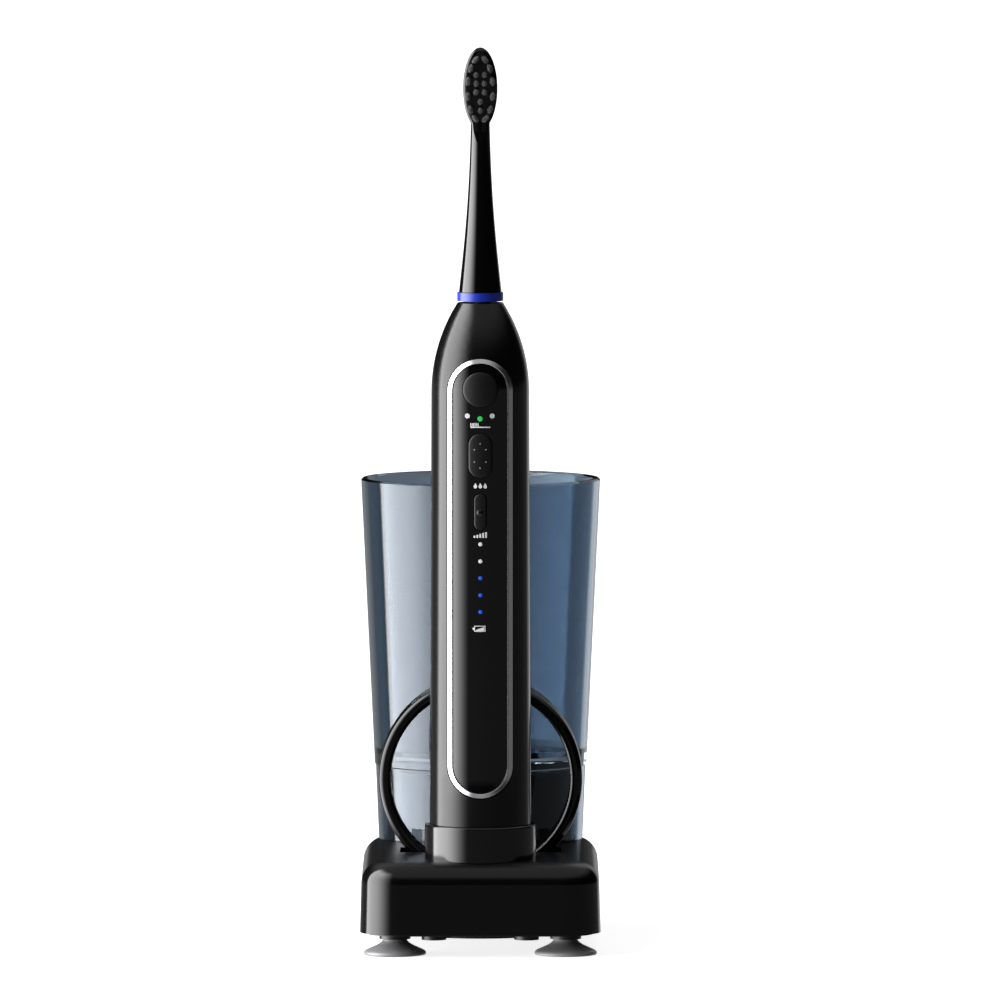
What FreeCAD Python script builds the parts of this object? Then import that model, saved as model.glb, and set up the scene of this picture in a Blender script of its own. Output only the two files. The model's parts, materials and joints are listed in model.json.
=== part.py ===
import FreeCAD, Part
import math
import os
import re
import Sketcher

# Combined sonic toothbrush and water flosser standing in its dock: a pump base on suction cups,
# a round water tank behind, a coil of hose between tank and handle, and the handle with its brush.
# Frame: +Z up, front towards -Y, origin on the standing surface under the middle of the object.
# Sizes are in millimetres. The handle's axis is X = 0, Y = 0 while the model is drawn, and the
# whole object is moved back by half its depth at the very end.

doc = FreeCAD.newDocument("FlosserToothbrush")
sheet = doc.addObject("Spreadsheet::Sheet", "Sizes")

SIZES = [
    ("base_width", 83.2, "width of the pump base"),
    ("base_front", -24.5, "front face of the base, from the handle's axis"),
    ("base_corner", 14.0, "radius of the base's front corners"),
    ("base_floor", 6.3, "height of the base's lower edge"),
    ("base_top", 31.0, "height of the base's flat top"),
    ("base_wall", 2.2, "wall of the base shell"),
    ("base_edge", 7.5, "rounding of the base's top edge"),
    ("tank_back", 79.0, "axis of the tank, behind the handle's axis"),
    ("column_radius", 33.0, "radius of the pump column under the tank"),
    ("column_top", 55.5, "height of the pump column"),
    ("column_wall", 1.8, "wall of the pump column"),
    ("trough_half", 28.0, "half length of the hose trough"),
    ("trough_front", 21.3, "front of the hose trough"),
    ("trough_back", 40.4, "back of the hose trough"),
    ("trough_floor", 20.4, "floor of the hose trough"),
    ("trough_wall", 1.6, "wall of the hose trough"),
    ("cover_low", 5.7, "underside of the bottom cover"),
    ("cover_high", 7.7, "upper side of the bottom cover"),
    ("foot_level", -1.5, "level that the suction cups stand on"),
    ("cup_radius", 10.8, "radius of a suction cup"),
    ("cup_across", 29.5, "suction cups, sideways from the middle"),
    ("cup_front", -10.5, "front suction cups, from the handle's axis"),
    ("cup_rear", 99.0, "rear suction cups, from the handle's axis"),
    ("cup_rear_across", 20.5, "rear suction cups, sideways from the middle"),
    ("tank_rim", 157.9, "height of the tank's rim"),
    ("tank_rim_radius", 42.0, "outer radius of the tank at its rim"),
    ("tank_foot_radius", 35.8, "outer radius of the tank's skirt at its foot"),
    ("tank_wall", 2.2, "wall of the tank"),
    ("skirt_wall", 1.7, "wall of the tank's skirt"),
    ("tank_floor", 61.2, "inside floor of the tank"),
    ("floor_wall", 4.2, "thickness of the tank's floor"),
    ("valve_hole", 5.0, "radius of the hole in the tank's floor"),
    ("hose_diameter", 4.3, "outer diameter of the hose"),
    ("coil_radius", 33.3, "mean radius of the hose coil"),
    ("coil_height", 56.4, "height of the coil's centre"),
    ("coil_first", 24.0, "centre of the front turn, behind the handle's axis"),
    ("coil_pitch", 4.5, "depth from one turn to the next"),
    ("coil_turns", 4, "turns of the coil"),
    ("dock_radius", 19.3, "outer radius of the dock collar"),
    ("dock_bore", 17.95, "inner radius of the dock collar"),
    ("dock_top", 43.0, "height of the dock collar"),
    ("dock_floor", 31.0, "floor of the dock"),
    ("handle_foot", 31.3, "height of the handle's lower end"),
    ("handle_seam", 37.0, "seam between the handle's end cap and shell"),
    ("handle_foot_radius", 17.6, "radius of the handle at its foot"),
    ("handle_mid_radius", 17.1, "radius of the handle at half height"),
    ("handle_mid", 150.0, "half height of the handle"),
    ("shoulder_low", 193.0, "height where the handle's shoulder starts"),
    ("shoulder_radius", 16.95, "radius of the handle where the shoulder starts"),
    ("shoulder_arc", 57.87, "radius of the shoulder's curve"),
    ("handle_top", 223.6, "height of the handle's top face"),
    ("handle_top_radius", 8.06, "radius of the handle's top face"),
    ("handle_wall", 1.6, "wall of the handle shell"),
    ("bezel_half", 11.25, "half width of the bezel ring"),
    ("bezel_band", 1.5, "width of the bezel ring's band"),
    ("bezel_low", 53.1, "lower end of the bezel ring"),
    ("bezel_high", 204.9, "upper end of the bezel ring"),
    ("bezel_gap", 0.35, "groove between the bezel ring and the handle shell"),
    ("panel_gap", 0.15, "gap between the bezel ring and the panel"),
    ("button_gap", 0.2, "gap round a button"),
    ("power_height", 194.3, "height of the power button's middle"),
    ("power_radius", 6.1, "radius of the power button"),
    ("mode_low", 163.8, "lower end of the mode button"),
    ("mode_high", 179.2, "upper end of the mode button"),
    ("mode_half", 4.1, "half width of the mode button"),
    ("speed_low", 145.9, "lower end of the speed button"),
    ("speed_high", 158.4, "upper end of the speed button"),
    ("speed_half", 2.2, "half width of the speed button"),
    ("button_back", -14.5, "back of the buttons"),
    ("light_radius", 0.85, "radius of an indicator light"),
    ("shaft_radius", 2.0, "radius of the drive shaft"),
    ("shaft_top", 236.0, "top of the drive shaft"),
    ("ring_low", 224.2, "lower edge of the colour ring"),
    ("ring_high", 227.1, "upper edge of the colour ring"),
    ("neck_top_radius", 3.3, "radius of the neck under the head"),
    ("head_low", 284.5, "height where the neck ends"),
    ("head_middle", 297.5, "height of the head's middle"),
    ("head_half", 5.96, "half width of the head"),
    ("head_reach", 14.2, "half height of the head"),
    ("head_front", -1.7, "front face of the head"),
    ("head_thick", 3.9, "thickness of the head"),
    ("tuft_length", 10.5, "height of the bristle tufts"),
    ("tuft_radius", 0.85, "radius of a bristle tuft"),
    ("motor_radius", 10.0, "radius of the pump motor"),
    ("motor_back", 91.0, "axis of the pump motor, behind the handle's axis"),
    ("motor_height", 26.0, "height of the pump motor's axis"),
    ("gear_module", 0.8, "module of the pump gears"),
    ("pinion_teeth", 12, "teeth on the motor pinion"),
    ("gear_teeth", 30, "teeth on the crank gear"),
    ("gear_side", 10.5, "near face of the crank gear"),
    ("gear_thick", 3.0, "thickness of the crank gear"),
    ("crank_throw", 2.5, "throw of the crank pin"),
    ("piston_radius", 4.95, "radius of the piston"),
    ("pump_side", 16.5, "axis of the pump cylinder, sideways"),
]

for row, (alias, number, meaning) in enumerate(SIZES, start=1):
    sheet.set(f"A{row}", meaning)
    sheet.set(f"B{row}", str(number))
    sheet.setAlias(f"B{row}", alias)
doc.recompute()

ALIASES = {alias for alias, number, meaning in SIZES}
UPRIGHT = FreeCAD.Rotation()
ALONG_X = FreeCAD.Rotation(FreeCAD.Vector(0, 1, 0), 90)
ALONG_Y = FreeCAD.Rotation(FreeCAD.Vector(1, 0, 0), -90)
NODES = []


def linked(text):
    """The expression with each alias written as a cell of the sheet."""
    return re.sub(r"[a-z_]+", lambda word: f"Sizes.{word[0]}" if word[0] in ALIASES else word[0], str(text))


def size(text):
    """The number that an expression of the sheet's aliases gives."""
    return float(sheet.evalExpression(linked(text)))


def bind(item, name, text):
    """Tie one size of an object to the sheet."""
    item.setExpression(name, linked(text))


def place(item, x="0", y="0", z="0", turn=UPRIGHT):
    """Put an object where the sheet says, turned from upright if asked."""
    item.Placement = FreeCAD.Placement(FreeCAD.Vector(size(x), size(y), size(z)), turn)
    for axis, text in (("x", x), ("y", y), ("z", z)):
        bind(item, f"Placement.Base.{axis}", text)
    return item


def node(item, name):
    """Name an object as one of the pieces that the assembly is made of."""
    item.Label = name
    NODES.append(item)
    return item


def cylinder(radius, length, x="0", y="0", z="0", turn=UPRIGHT):
    """A round bar from the given point along its turned axis."""
    bar = doc.addObject("Part::Cylinder", "Bar")
    bind(bar, "Radius", radius)
    bind(bar, "Height", length)
    return place(bar, x, y, z, turn)


def box(x, y, z, wide, deep, high):
    """A block from its lowest corner."""
    block = doc.addObject("Part::Box", "Block")
    bind(block, "Length", wide)
    bind(block, "Width", deep)
    bind(block, "Height", high)
    return place(block, x, y, z)


def fuse(*items):
    """Several shapes made one."""
    whole = doc.addObject("Part::MultiFuse", "Fusion")
    whole.Shapes = list(items)
    return whole


def cut(base, *tools):
    """A shape with others taken away."""
    for tool in tools:
        less = doc.addObject("Part::Cut", "Cut")
        less.Base = base
        less.Tool = tool
        base = less
    return base


def common(first, second):
    """The part that two shapes share."""
    shared = doc.addObject("Part::MultiCommon", "Common")
    shared.Shapes = [first, second]
    return shared


def group(*items):
    """Several separate solids kept in one piece's file."""
    many = doc.addObject("Part::Compound", "Group")
    many.Links = list(items)
    return many


def origin_plane(body, role):
    """One of a body's own origin planes or axes."""
    return next(item for item in body.Origin.OriginFeatures if item.Role == role)


def arc_between(start, end, radius):
    """The arc from start to end, bulging left of the way there if the radius is positive."""
    chord = end - start
    side = FreeCAD.Vector(-chord.y, chord.x, 0).normalize() * (1 if radius > 0 else -1)
    drop = math.sqrt(max(radius * radius - chord.Length ** 2 / 4, 0))
    centre = (start + end) * 0.5 - side * drop
    first, last = (end, start) if radius > 0 else (start, end)
    begin = math.atan2(first.y - centre.y, first.x - centre.x)
    finish = math.atan2(last.y - centre.y, last.x - centre.x)
    if finish < begin:
        finish += 2 * math.pi
    circle = Part.Circle(centre, FreeCAD.Vector(0, 0, 1), abs(radius))
    return Part.ArcOfCircle(circle, begin, finish)


def outline(body, name, role, corners, offset="0"):
    """A closed sketch. Each corner is (across, up), with the radius of an arc to the next if it has one."""
    sketch = body.newObject("Sketcher::SketchObject", name)
    sketch.AttachmentSupport = (origin_plane(body, role), [""])
    sketch.MapMode = "FlatFace"
    sketch.AttachmentOffset = FreeCAD.Placement(FreeCAD.Vector(0, 0, size(offset)), UPRIGHT)
    bind(sketch, "AttachmentOffset.Base.z", offset)
    points = [FreeCAD.Vector(size(corner[0]), size(corner[1]), 0) for corner in corners]
    first_end = {}
    for index, corner in enumerate(corners):
        start = points[index]
        end = points[(index + 1) % len(points)]
        if len(corner) == 2:
            sketch.addGeometry(Part.LineSegment(start, end), False)
            first_end[index] = 1
            continue
        sketch.addGeometry(arc_between(start, end, size(corner[2])), False)
        first_end[index] = 2 if size(corner[2]) > 0 else 1
    for index, corner in enumerate(corners):
        before = (index - 1) % len(corners)
        sketch.addConstraint(Sketcher.Constraint(
            "Coincident", before, 3 - first_end[before], index, first_end[index]))
    for index, corner in enumerate(corners):
        for kind, text in (("DistanceX", corner[0]), ("DistanceY", corner[1])):
            number = sketch.addConstraint(Sketcher.Constraint(
                kind, -1, 1, index, first_end[index], size(text)))
            bind(sketch, f"Constraints[{number}]", text)
    return sketch


def turned(name, corners, x="0", y="0", z="0", turn=UPRIGHT):
    """A piece turned about its own upright axis, from (radius, height) corners."""
    body = doc.addObject("PartDesign::Body", "Turned")
    sketch = outline(body, "Profile", "XZ_Plane", corners)
    spin = body.newObject("PartDesign::Revolution", "Turning")
    spin.Profile = sketch
    spin.ReferenceAxis = (sketch, ["V_Axis"])
    spin.Angle = 360.0
    body.Tip = spin
    place(body, x, y, z, turn)
    return node(body, name) if name else body


def padded(name, role, corners, length, offset="0"):
    """A piece pulled straight out of a flat outline."""
    body = doc.addObject("PartDesign::Body", "Padded")
    sketch = outline(body, "Outline", role, corners, offset)
    pad = body.newObject("PartDesign::Pad", "Pulling")
    pad.Profile = sketch
    bind(pad, "Length", length)
    body.Tip = pad
    return node(body, name) if name else body


# ---------------------------------------------------------------- pump base

def base_outline(inset):
    """Straight front with round corners, straight sides and a half-round back, as corner list."""
    half = f"(base_width / 2 - {inset})"
    front = f"(base_front + {inset})"
    corner = f"(base_corner - {inset})"
    return [
        (f"-{half}", "tank_back"),
        (f"-{half}", f"{front} + {corner}", f"-1 * {corner}"),
        (f"-{half} + {corner}", front),
        (f"{half} - {corner}", front, f"-1 * {corner}"),
        (half, f"{front} + {corner}"),
        (half, "tank_back", f"-1 * {half}"),
        ("0", f"tank_back + {half}", f"-1 * {half}"),
    ]


def outer_edges(shape, height):
    """Names of the edges that lie at one height."""
    names = []
    for index, edge in enumerate(shape.Edges, start=1):
        flat = edge.BoundBox.ZLength < 1e-3 and abs(edge.BoundBox.ZMin - height) < 1e-3
        if flat:
            names.append(f"Edge{index}")
    return names


def base_block(inset, low, high, edge):
    """A D-shaped block with a soft top edge and a slight draft, moved in from the base's outside."""
    body = doc.addObject("PartDesign::Body", "BaseBlock")
    sketch = outline(body, "Plan", "XY_Plane", base_outline(inset), low)
    pad = body.newObject("PartDesign::Pad", "Rise")
    pad.Profile = sketch
    bind(pad, "Length", f"{high} - ({low})")
    pad.TaperAngle = -1.5
    doc.recompute()
    soft = body.newObject("PartDesign::Fillet", "SoftEdge")
    soft.Base = (pad, outer_edges(pad.Shape, size(high)))
    bind(soft, "Radius", edge)
    body.Tip = soft
    return body


SCREW_SPOTS = [("-34.3", "14"), ("34.3", "14"), ("-34", "66"), ("34", "66")]


def base_shell():
    """One moulding: casing, pump column, hose trough and screw bosses."""
    outside = base_block("0", "base_floor", "base_top", "base_edge")
    column = cylinder("column_radius", "column_top - base_top + 1", "0", "tank_back", "base_top - 1")
    inside = base_block("base_wall", "base_floor - 1", "base_top - base_wall", "base_edge - base_wall")
    inside_column = cylinder("column_radius - column_wall", "column_top - 2 - base_floor", "0", "tank_back",
                             "base_floor")
    hollow = cut(fuse(outside, column), inside, inside_column)
    trough = box("-trough_half - trough_wall", "trough_front - trough_wall", "trough_floor - trough_wall",
                 "2 * trough_half + 2 * trough_wall", "trough_back - trough_front + 2 * trough_wall",
                 "base_top - 1 - trough_floor + trough_wall")
    bosses = [cylinder("3.2", "base_top - 1 - cover_high", x, y, "cover_high") for x, y in SCREW_SPOTS]
    whole = fuse(hollow, trough, *bosses)
    pocket = box("-trough_half", "trough_front", "trough_floor", "2 * trough_half",
                 "trough_back - trough_front", "20")
    dock_hole = cylinder("dock_radius - 0.4", "12", "0", "0", "24")
    pilots = [cylinder("1.45", "12", x, y, "cover_high - 1") for x, y in SCREW_SPOTS]
    hose_hole = box("9.5", "trough_front - trough_wall - 0.5", "trough_floor", "14", "4", "5.4")
    fitting_hole = cylinder("2.9", "6", "-trough_half - 4", "coil_first + 3 * coil_pitch", "23.1", ALONG_X)
    spigot_hole = cylinder("3.6", "6", "0", "tank_back", "column_top - 4")
    inlet_hole = cylinder("4.1", "10", "0", "tank_back + base_width / 2 - 8", "17", ALONG_Y)
    return node(cut(whole, pocket, dock_hole, *pilots, hose_hole, fitting_hole, spigot_hole, inlet_hole),
                "base_shell")


CUPS = [
    ("suction_cup_front_left", "-cup_across", "cup_front"),
    ("suction_cup_front_right", "cup_across", "cup_front"),
    ("suction_cup_rear_left", "-cup_rear_across", "cup_rear"),
    ("suction_cup_rear_right", "cup_rear_across", "cup_rear"),
]


def bottom_cover():
    """Plate let into the base, with a round pad, two bosses and a collar over each suction cup."""
    plate = padded(None, "XY_Plane", base_outline("(base_wall + 0.3)"), "cover_high - cover_low", "cover_low")
    pad = cylinder("30", "1.9", "0", "14", "cover_low - 1.3")
    bosses = [cylinder("4.3", "2.6", x, "-14", "cover_low - 1.7") for x in ("-16", "16")]
    collars = [cylinder("5.4", "2.6", x, y, "cover_low - 1.7") for name, x, y in CUPS]
    holes = [cylinder("1.7", "5", x, y, "cover_low - 1") for x, y in SCREW_SPOTS]
    cup_holes = [cylinder("2.5", "6", x, y, "cover_low - 2.5") for name, x, y in CUPS]
    return node(cut(fuse(plate, pad, *bosses, *collars), *holes, *cup_holes), "bottom_cover")


def cover_screws():
    """Four pan-head screws, head under the cover."""
    screws = []
    for x, y in SCREW_SPOTS:
        head = cylinder("2.7", "1.3", x, y, "cover_low - 1.3")
        shank = cylinder("1.4", "9", x, y, "cover_low - 0.5")
        screws.append(fuse(head, shank))
    return node(group(*screws), "cover_screws")


def suction_cups():
    """Soft cups, each with a waist and a stud that snaps through the bottom cover."""
    for name, x, y in CUPS:
        turned(name, [
            ("0", "foot_level + 2.6"), ("3", "foot_level + 2.5", "24"), ("cup_radius - 0.9", "foot_level"),
            ("cup_radius - 0.2", "foot_level"), ("cup_radius", "foot_level + 0.5"),
            ("cup_radius - 0.3", "foot_level + 1.2", "-16"), ("4.3", "cover_low - 2.4"),
            ("4.1", "cover_low - 1.7"), ("2.4", "cover_low - 1.7"), ("2.4", "cover_high + 0.1"),
            ("3.3", "cover_high + 0.1"), ("2.2", "cover_high + 2"), ("0", "cover_high + 2"),
        ], x, y)


def dock_collar():
    """Round cup that the handle stands in. It drops into the base and rests on its rim."""
    return turned("dock_collar", [
        ("3.4", "dock_floor - 2"), ("dock_radius - 0.7", "dock_floor - 2"), ("dock_radius - 0.7", "base_top"),
        ("dock_radius", "base_top"), ("dock_radius", "dock_top - 0.7", "-0.7"),
        ("dock_radius - 0.7", "dock_top"), ("dock_bore + 0.2", "dock_top"), ("dock_bore", "dock_top - 0.2"),
        ("dock_bore", "dock_floor"), ("3.4", "dock_floor"),
    ])


def ring(name, inner, outer, low, high, x="0", y="0"):
    """A plain ring or washer."""
    return turned(name, [(inner, low), (outer, low), (outer, high), (inner, high)], x, y)


def hose_fitting():
    """Elbow through the trough's end wall that the hose is pushed on."""
    along = cylinder("2.1", "11", "-trough_half - 8", "coil_first + 3 * coil_pitch", "23.1", ALONG_X)
    back = cylinder("2.1", "8", "-trough_half - 6.5", "coil_first + 3 * coil_pitch", "23.1", ALONG_Y)
    flange = cylinder("4", "1.4", "-trough_half - trough_wall - 1.5", "coil_first + 3 * coil_pitch", "23.1",
                      ALONG_X)
    return node(fuse(along, back, flange), "hose_outlet_fitting")


def rounded_path(points, label):
    """Straight runs joined by tangent arcs. Each arc takes 0.45 of the shorter run beside it."""
    points = [FreeCAD.Vector(*point) for point in points]
    edges = []
    start = points[0]
    for before, corner, after in zip(points, points[1:], points[2:]):
        come = (corner - before).normalize()
        leave = (after - corner).normalize()
        reach = 0.45 * min((corner - before).Length, (after - corner).Length)
        turn = come.getAngle(leave)
        radius = reach / math.tan(turn / 2)
        print(f"{label}: arc radius {radius:.1f} mm")
        first = corner - come * reach
        last = corner + leave * reach
        inward = (leave - come).normalize()
        middle = corner + inward * (radius / math.cos(turn / 2) - radius)
        edges.append(Part.LineSegment(start, first).toShape())
        edges.append(Part.Arc(first, middle, last).toShape())
        start = last
    edges.append(Part.LineSegment(start, points[-1]).toShape())
    return Part.Wire(edges)


def tube(name, points, radius):
    """A solid round tube along a rounded path."""
    path = rounded_path(points, name)
    heading = path.Edges[0].tangentAt(path.Edges[0].FirstParameter)
    section = Part.Wire(Part.Circle(path.Vertexes[0].Point, heading, radius).toShape())
    shape = path.makePipeShell([section], True, True)
    expected = math.pi * radius ** 2 * path.Length
    print(f"{name}: length {path.Length:.1f} mm, volume {shape.Volume:.1f}, expected {expected:.1f}")
    item = doc.addObject("Part::Feature", "Tube")
    item.Shape = shape
    return node(item, name)


# Route of the hose from the foot of the front turn, through the trough's wall and under the dock's
# floor, up into the handle. The last rear turn leaves the outlet fitting along a straight.
HOSE_LEVEL = 23.1
LEAD_ROUTE = [
    (0, 24, HOSE_LEVEL),
    (13, 24.2, HOSE_LEVEL),
    (21.5, 14, HOSE_LEVEL),
    (16.5, 2, HOSE_LEVEL),
    (5, 0, HOSE_LEVEL),
    (0, 0, 27.6),
    (0, 0, 31.3),
]


def hose():
    """The stacked turns as one closed ring, and the two free ends as tubes."""
    coil = turned("hose_coil", [
        ("coil_radius - hose_diameter / 2", "-hose_diameter / 2"),
        ("coil_radius + hose_diameter / 2", "-hose_diameter / 2"),
        ("coil_radius + hose_diameter / 2", "hose_diameter / 2 + coil_pitch * (coil_turns - 1)"),
        ("coil_radius - hose_diameter / 2", "hose_diameter / 2 + coil_pitch * (coil_turns - 1)"),
    ], "0", "coil_first", "coil_height", ALONG_Y)
    tube("hose_lead", LEAD_ROUTE, size("hose_diameter / 2"))
    straight = cylinder("hose_diameter / 2", "13", "-25", "coil_first + 3 * coil_pitch", "23.1", ALONG_X)
    node(straight, "hose_tail")
    return coil


def gear_outline(module, teeth, turn_degrees):
    """Straight-sided teeth on a root circle, closed, centred on the origin."""
    pitch = module * teeth / 2
    top = pitch + 0.85 * module
    root = pitch - 1.15 * module
    step = 2 * math.pi / teeth
    points = []
    for tooth in range(teeth):
        middle = math.radians(turn_degrees) + tooth * step
        for radius, share in ((root, -0.27), (top, -0.12), (top, 0.12), (root, 0.27)):
            angle = middle + share * step
            points.append(FreeCAD.Vector(radius * math.cos(angle), radius * math.sin(angle), 0))
    return Part.makePolygon(points + points[:1])


def gear(teeth, turn_degrees, thick, bore, y, side):
    """A spur gear whose axis runs along X."""
    blank = Part.Face(gear_outline(size("gear_module"), teeth, turn_degrees))
    shape = blank.extrude(FreeCAD.Vector(0, 0, thick))
    shape = shape.cut(Part.makeCylinder(bore, 3 * thick, FreeCAD.Vector(0, 0, -thick)))
    item = doc.addObject("Part::Feature", "Gear")
    item.Shape = shape
    item.Placement = FreeCAD.Placement(FreeCAD.Vector(side, y, size("motor_height")), ALONG_X)
    return item


def pump():
    """Motor, pinion, crank gear, piston and cylinder, on one frame under the column."""
    crank_back = "(motor_back - gear_module * (gear_teeth + pinion_teeth) / 2)"
    motor = fuse(cylinder("motor_radius", "25", "gear_side - 27.5", "motor_back", "motor_height", ALONG_X),
                 cylinder("3", "1.4", "gear_side - 2.5", "motor_back", "motor_height", ALONG_X))
    bore = cylinder("1.05", "12", "gear_side - 12", "motor_back", "motor_height", ALONG_X)
    node(cut(motor, bore), "pump_motor")
    shaft = cylinder("1", "15", "gear_side - 11", "motor_back", "motor_height", ALONG_X)
    small = gear(int(size("pinion_teeth")), 90 + 15, 3.6, 0.9, size("motor_back"), size("gear_side") - 0.3)
    node(fuse(shaft, small), "motor_pinion")
    wheel = gear(int(size("gear_teeth")), 90, size("gear_thick"), 1.55, size(crank_back), size("gear_side"))
    pin = cylinder("1.25", "5.5", "gear_side + gear_thick - 0.5", crank_back, "motor_height + crank_throw",
                   ALONG_X)
    node(fuse(wheel, pin), "crank_gear")
    node(cylinder("1.5", "4.5", "gear_side - 2.2", crank_back, "motor_height", ALONG_X), "gear_axle")
    plate = box("gear_side - 2.2", "60", "cover_high + 0.2", "1.6", "42", "40")
    foot = box("-4", "60", "cover_high + 0.2", "14", "42", "1.6")
    clamp = cylinder("8.4", "4", "pump_side", crank_back, "44.8")
    clamp_bore = cylinder("6.85", "14", "pump_side", crank_back, "38")
    boss_hole = cylinder("3.05", "6", "gear_side - 4", "motor_back", "motor_height", ALONG_X)
    axle_hole = cylinder("1.5", "6", "gear_side - 4", crank_back, "motor_height", ALONG_X)
    node(cut(fuse(plate, foot, clamp), clamp_bore, boss_hole, axle_hole), "pump_frame")
    turned("pump_cylinder", [("5", "39.2"), ("6.8", "39.2"), ("6.8", "49"), ("5", "49")],
           "pump_side", crank_back)
    head = cylinder("6.8", "3.8", "pump_side", crank_back, "49.05")
    node(cut(head, cylinder("2.6", "4", "pump_side", f"{crank_back} + 3", "48"),
             cylinder("2.6", "4", "pump_side", f"{crank_back} - 3", "48")), "pump_head")
    duckbill = [("0", "49.4"), ("0.6", "49.4"), ("2.5", "50.6"), ("2.5", "51.9"), ("0", "51.9")]
    node(group(turned(None, duckbill, "pump_side", f"{crank_back} + 3"),
               turned(None, duckbill, "pump_side", f"{crank_back} - 3")), "check_valves")
    eye = cylinder("8.4", "2.6", "gear_side + gear_thick + 1.2", crank_back, "motor_height", ALONG_X)
    eye_hole = cylinder("6.5", "6", "gear_side + gear_thick", crank_back, "motor_height", ALONG_X)
    rod = cylinder("1.3", "9.5", "pump_side", crank_back, "motor_height + 7.5")
    piston = cylinder("piston_radius", "4", "pump_side", crank_back, "42")
    groove = cut(cylinder("5.5", "1.4", "pump_side", crank_back, "43.3"),
                 cylinder("4", "1.4", "pump_side", crank_back, "43.3"))
    node(cut(fuse(cut(eye, eye_hole), rod, piston), groove), "piston_rod")
    ring("piston_seal", "4.05", "4.97", "43.4", "44.6", "pump_side", crank_back)
    spigot = turned(None, [
        ("1.6", "column_top - 7"), ("3.4", "column_top - 7"), ("3.4", "column_top"), ("5.2", "column_top"),
        ("5.2", "column_top + 0.8"), ("1.6", "column_top + 0.8"),
    ], "0", "tank_back")
    branch = cylinder("1.3", "9", "1.8", "tank_back", "50.3", ALONG_X)
    node(fuse(spigot, branch), "inlet_spigot")
    tube("outlet_pipe", [
        (16.5, 67.3, 50.5), (16.5, 62, 50.5), (16, 57.5, 45), (14, 53, 36), (8, 50, 28), (-4, 48.6, HOSE_LEVEL),
        (-20, 49.5, HOSE_LEVEL), (-30, 51.5, HOSE_LEVEL), (-34.4, 49.6, HOSE_LEVEL), (-34.5, 45.6, HOSE_LEVEL),
    ], 1.5)


def base_electrics():
    """Charging ring under the dock, control board and the socket for the mains lead."""
    ring("charging_coil", "8", "14", "26", "dock_floor - 2.3")
    node(box("-18", "-15", "12", "36", "30", "1.6"), "base_circuit_board")
    body = box("-5", "106", "cover_high + 0.6", "10", "10.5", "12")
    nose = cylinder("3.9", "4", "0", "tank_back + base_width / 2 - 4", "17", ALONG_Y)
    bore = cylinder("2.75", "9", "0", "tank_back + base_width / 2 - 9", "17", ALONG_Y)
    node(cut(fuse(body, nose), bore), "power_inlet")


# ---------------------------------------------------------------- water tank

def water_tank():
    """Open tumbler with a floor, standing on a skirt that goes over the pump column."""
    slope = "((tank_rim_radius - tank_foot_radius) / (tank_rim - base_top))"
    at_floor = f"(tank_foot_radius + {slope} * (tank_floor - base_top))"
    under = f"(tank_foot_radius + {slope} * (tank_floor - floor_wall - base_top))"
    body = turned(None, [
        ("tank_foot_radius - skirt_wall", "base_top"), ("tank_foot_radius", "base_top"),
        (f"{under} - 0.2", "tank_floor - floor_wall"), (f"{under} + 0.15", "tank_floor - floor_wall + 0.4"),
        ("tank_rim_radius", "tank_rim - 0.6"), ("tank_rim_radius - 0.6", "tank_rim"),
        ("tank_rim_radius - tank_wall + 0.6", "tank_rim"), ("tank_rim_radius - tank_wall", "tank_rim - 0.6"),
        (f"{at_floor} - tank_wall", "tank_floor + 2"), (f"{at_floor} - tank_wall - 2", "tank_floor"),
        ("valve_hole", "tank_floor"), ("valve_hole", "tank_floor - floor_wall"),
        (f"{under} - 0.2 - skirt_wall", "tank_floor - floor_wall"),
    ], "0", "tank_back")
    notch = box("-24", "tank_back - 60", "base_top - 3", "48", "40", "8.5")
    return node(cut(body, notch), "water_tank")


def tank_valve():
    """Poppet pushed up by the spigot while the tank is docked, its spring, and the seal below."""
    ring("tank_gasket", "6.4", "9.5", "column_top + 0.1", "tank_floor - floor_wall - 0.1", "0", "tank_back")
    turned("tank_valve", [
        ("0", "column_top + 0.8"), ("2.6", "column_top + 0.8"), ("2.6", "tank_floor + 1.5"),
        ("6.4", "tank_floor + 1.5"), ("6.4", "tank_floor + 2.3"), ("5.4", "tank_floor + 3.1"),
        ("0", "tank_floor + 3.1"),
    ], "0", "tank_back")
    cage = turned(None, [
        ("8.2", "tank_floor"), ("9.4", "tank_floor"), ("9.4", "tank_floor + 8.4"), ("0", "tank_floor + 8.4"),
        ("0", "tank_floor + 7.2"), ("8.2", "tank_floor + 7.2"),
    ], "0", "tank_back")
    window_across = box("-10", "tank_back - 3", "tank_floor + 1.5", "20", "6", "4.5")
    window_along = box("-3", "tank_back - 10", "tank_floor + 1.5", "6", "20", "4.5")
    node(cut(cage, window_across, window_along), "valve_cage")
    ring("valve_spring", "2.4", "3.6", "tank_floor + 3.1", "tank_floor + 7.2", "0", "tank_back")


# ---------------------------------------------------------------- handle

def handle_corners(inset, low, first):
    """Profile of the handle's outside, moved in by an inset, from a low height to the top face."""
    lean = 0.8486
    rise = 0.5289
    return first + [
        (f"handle_foot_radius - {inset}", low),
        (f"handle_mid_radius - {inset}", "handle_mid"),
        (f"shoulder_radius - {inset}", "shoulder_low", f"-1 * (shoulder_arc - {inset})"),
        (f"handle_top_radius - {lean} * {inset}", f"handle_top - {rise} * {inset}"),
    ]


def handle_skin(outside, inside):
    """A turned skin of the handle between two insets, used for whatever lies in its surface."""
    outer = turned(None, handle_corners(outside, "handle_foot", [("0", "handle_foot")])
                   + [("0", f"handle_top - 0.5289 * {outside}")])
    inner = turned(None, handle_corners(inside, "handle_foot", [("0", "handle_foot")])
                   + [("0", f"handle_top - 0.5289 * {inside}")])
    return cut(outer, inner)


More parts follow.
